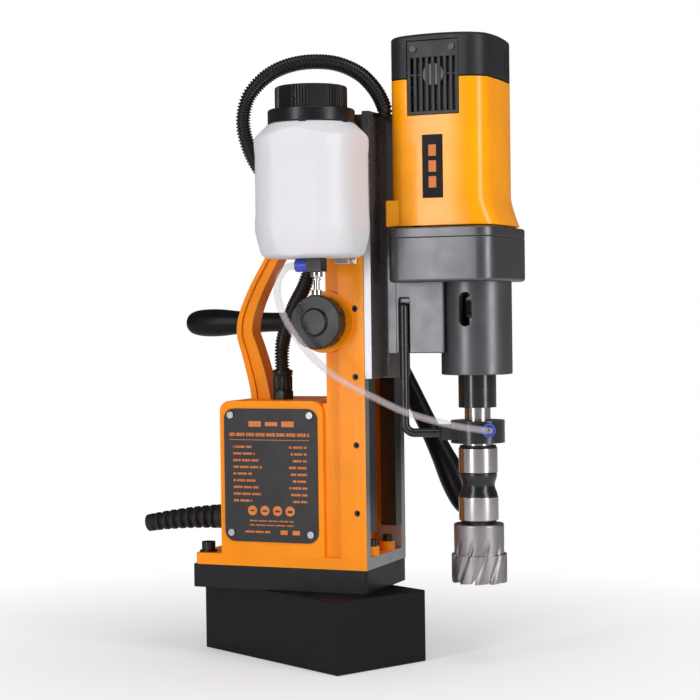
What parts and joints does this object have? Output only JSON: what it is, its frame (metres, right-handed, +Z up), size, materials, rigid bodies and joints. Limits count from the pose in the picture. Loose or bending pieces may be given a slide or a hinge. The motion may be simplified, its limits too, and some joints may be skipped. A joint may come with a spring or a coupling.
{
  "type": "magnetic drill press",
  "caption": "Magnetic-base drill press: swivelling electromagnet block, column casting with carry handle, rack-fed carriage, geared motor head, coolant bottle and annular cutter.",
  "frame": {"origin": "the swivel axis of the base, at the level of the magnet's pole face", "axes": "+Z up along the column and spindle, -Y towards the drill head, +X towards the side with the feed arms"},
  "size_m": [0.2399, 0.3719, 0.57],
  "materials": {
    "magnet_black": "satin black paint",
    "copper_wire": "enamelled copper winding",
    "potting_resin": "cast resin",
    "machined_steel": "turned and ground steel",
    "plate_charcoal": "satin charcoal paint",
    "orange_paint": "satin orange paint on a casting",
    "black_oxide": "black oxide steel",
    "label_charcoal": "smooth matte plate",
    "bright_screw": "bright zinc",
    "board_green": "solder mask",
    "gib_steel": "ground steel",
    "bronze": "sintered bronze",
    "black_plastic": "moulded black plastic",
    "black_rubber": "moulded rubber",
    "bracket_zinc": "zinc plated sheet",
    "bottle_plastic": "translucent blow-moulded plastic",
    "blue_plastic": "moulded blue plastic",
    "nickel": "nickel plate",
    "clear_hose": "clear flexible tube",
    "green_plastic": "moulded green plastic",
    "red_plastic": "moulded red plastic",
    "slide_steel": "blackened ground steel",
    "case_grey": "graphite grey satin paint",
    "motor_orange": "gloss yellow-orange moulding",
    "lamination_steel": "laminated electrical steel",
    "cap_charcoal": "satin charcoal moulding",
    "grille_black": "black moulding",
    "carbon": "carbon",
    "ring_black": "black anodised",
    "rod_black": "black painted rod",
    "spindle_black": "black oxide ground steel",
    "arbor_chrome": "polished steel",
    "sleeve_black": "black sleeve with a bright band",
    "cutter_steel": "satin high-speed steel",
    "grip_rubber": "matte moulded grip"
  },
  "bodies": {
    "base": {"magnet_core": "magnet_black", "magnet_coil": "copper_wire", "coil_potting": "potting_resin", "pivot_bolt": "machined_steel"},
    "column": {"swivel_plate": "plate_charcoal", "column_casting": "orange_paint", "foot_bolts": "black_oxide", "label_plate": "label_charcoal", "panel_screws": "bright_screw", "control_panel": "label_charcoal", "circuit_board": "board_green", "gibs": "gib_steel", "gib_screws": "black_oxide", "pinion_bushes": "bronze", "conduit_gland": "black_plastic", "cord_boot": "black_rubber", "bottle_bracket": "bracket_zinc", "coolant_bottle": "bottle_plastic", "coolant_tap": "black_plastic", "tap_collet": "blue_plastic"},
    "bottle_cap": {"bottle_cap": "black_plastic"},
    "needle_valve": {"needle_valve": "nickel"},
    "start_button": {"start_button": "green_plastic"},
    "stop_button": {"stop_button": "red_plastic"},
    "magnet_switch": {"magnet_switch": "red_plastic"},
    "speed_dial": {"speed_dial": "black_plastic"},
    "carriage": {"slide": "slide_steel", "rack": "machined_steel", "slide_screws": "black_oxide", "motor_bracket": "case_grey", "gear_case": "case_grey", "gear_cover": "case_grey", "housing_screws": "black_oxide", "motor_housing": "motor_orange", "stator": "lamination_steel", "motor_cap": "cap_charcoal", "vent_grilles": "grille_black", "carbon_brushes": "carbon", "spindle_bearings": "machined_steel", "shaft_bearings": "machined_steel", "coolant_ring": "ring_black", "ring_rod": "rod_black", "ring_collet": "blue_plastic", "coolant_hose": "clear_hose", "cable_conduit": "black_plastic"},
    "spindle": {"spindle": "spindle_black", "spindle_gear": "machined_steel", "arbor": "arbor_chrome", "annular_cutter": "cutter_steel"},
    "arbor_sleeve": {"arbor_sleeve": "sleeve_black"},
    "layshaft": {"layshaft": "machined_steel", "layshaft_gear": "machined_steel"},
    "armature": {"armature_shaft": "machined_steel", "armature_core": "lamination_steel", "cooling_fan": "black_plastic"},
    "feed": {"pinion_shaft": "machined_steel", "feed_knob": "black_plastic", "feed_hub": "black_plastic", "feed_arms": "machined_steel", "feed_grips": "grip_rubber"}
  },
  "joints": [
    {"name": "base_swivel", "type": "hinge", "parent": "base", "child": "column", "pos_m": [0, 0, 0.0765], "axis": [0, 0, 1], "range_deg": [-73, 17]},
    {"name": "carriage_slide", "type": "slide", "parent": "column", "child": "carriage", "axis": [0, 0, 1], "range_m": [-0.155, 0.025], "deforming": ["coolant_hose", "cable_conduit"]},
    {"name": "feed_turn", "type": "hinge", "parent": "column", "child": "feed", "pos_m": [0, -0.0428, 0.312], "axis": [1, 0, 0], "range_deg": [-119.5, 740.5]},
    {"name": "spindle_spin", "type": "hinge", "parent": "carriage", "child": "spindle", "pos_m": [0, -0.171, 0.2], "axis": [0, 0, 1], "continuous": true},
    {"name": "layshaft_spin", "type": "hinge", "parent": "carriage", "child": "layshaft", "pos_m": [0.02286, -0.15157, 0.36], "axis": [0, 0, 1], "continuous": true},
    {"name": "armature_spin", "type": "hinge", "parent": "carriage", "child": "armature", "pos_m": [0, -0.149, 0.45], "axis": [0, 0, 1], "continuous": true},
    {"name": "sleeve_lift", "type": "slide", "parent": "spindle", "child": "arbor_sleeve", "axis": [0, 0, 1], "range_m": [0, 0.004], "stiffness_N_per_m": 400},
    {"name": "valve_turn", "type": "hinge", "parent": "column", "child": "needle_valve", "pos_m": [-0.1, -0.057, 0.345], "axis": [0, 0, 1], "range_deg": [-360, 360]},
    {"name": "bottle_cap_lift", "type": "slide", "parent": "column", "child": "bottle_cap", "axis": [0, 0, 1], "range_m": [0, 0.04]},
    {"name": "start_press", "type": "slide", "parent": "column", "child": "start_button", "axis": [-1, 0, 0], "range_m": [0, 0.003], "stiffness_N_per_m": 300},
    {"name": "stop_press", "type": "slide", "parent": "column", "child": "stop_button", "axis": [-1, 0, 0], "range_m": [0, 0.003], "stiffness_N_per_m": 300},
    {"name": "switch_rock", "type": "hinge", "parent": "column", "child": "magnet_switch", "pos_m": [0.0445, -0.012, 0.204], "axis": [0, 1, 0], "range_deg": [-10, 10]},
    {"name": "dial_turn", "type": "hinge", "parent": "column", "child": "speed_dial", "pos_m": [0.05, 0.03, 0.152], "axis": [1, 0, 0], "range_deg": [-135, 135]}
  ],
  "couplings": [
    {"joint": "feed_turn", "follows": "carriage_slide", "rad_per_m": -83.333},
    {"joint": "layshaft_spin", "follows": "spindle_spin", "ratio": -3},
    {"joint": "armature_spin", "follows": "spindle_spin", "ratio": 10.8}
  ]
}
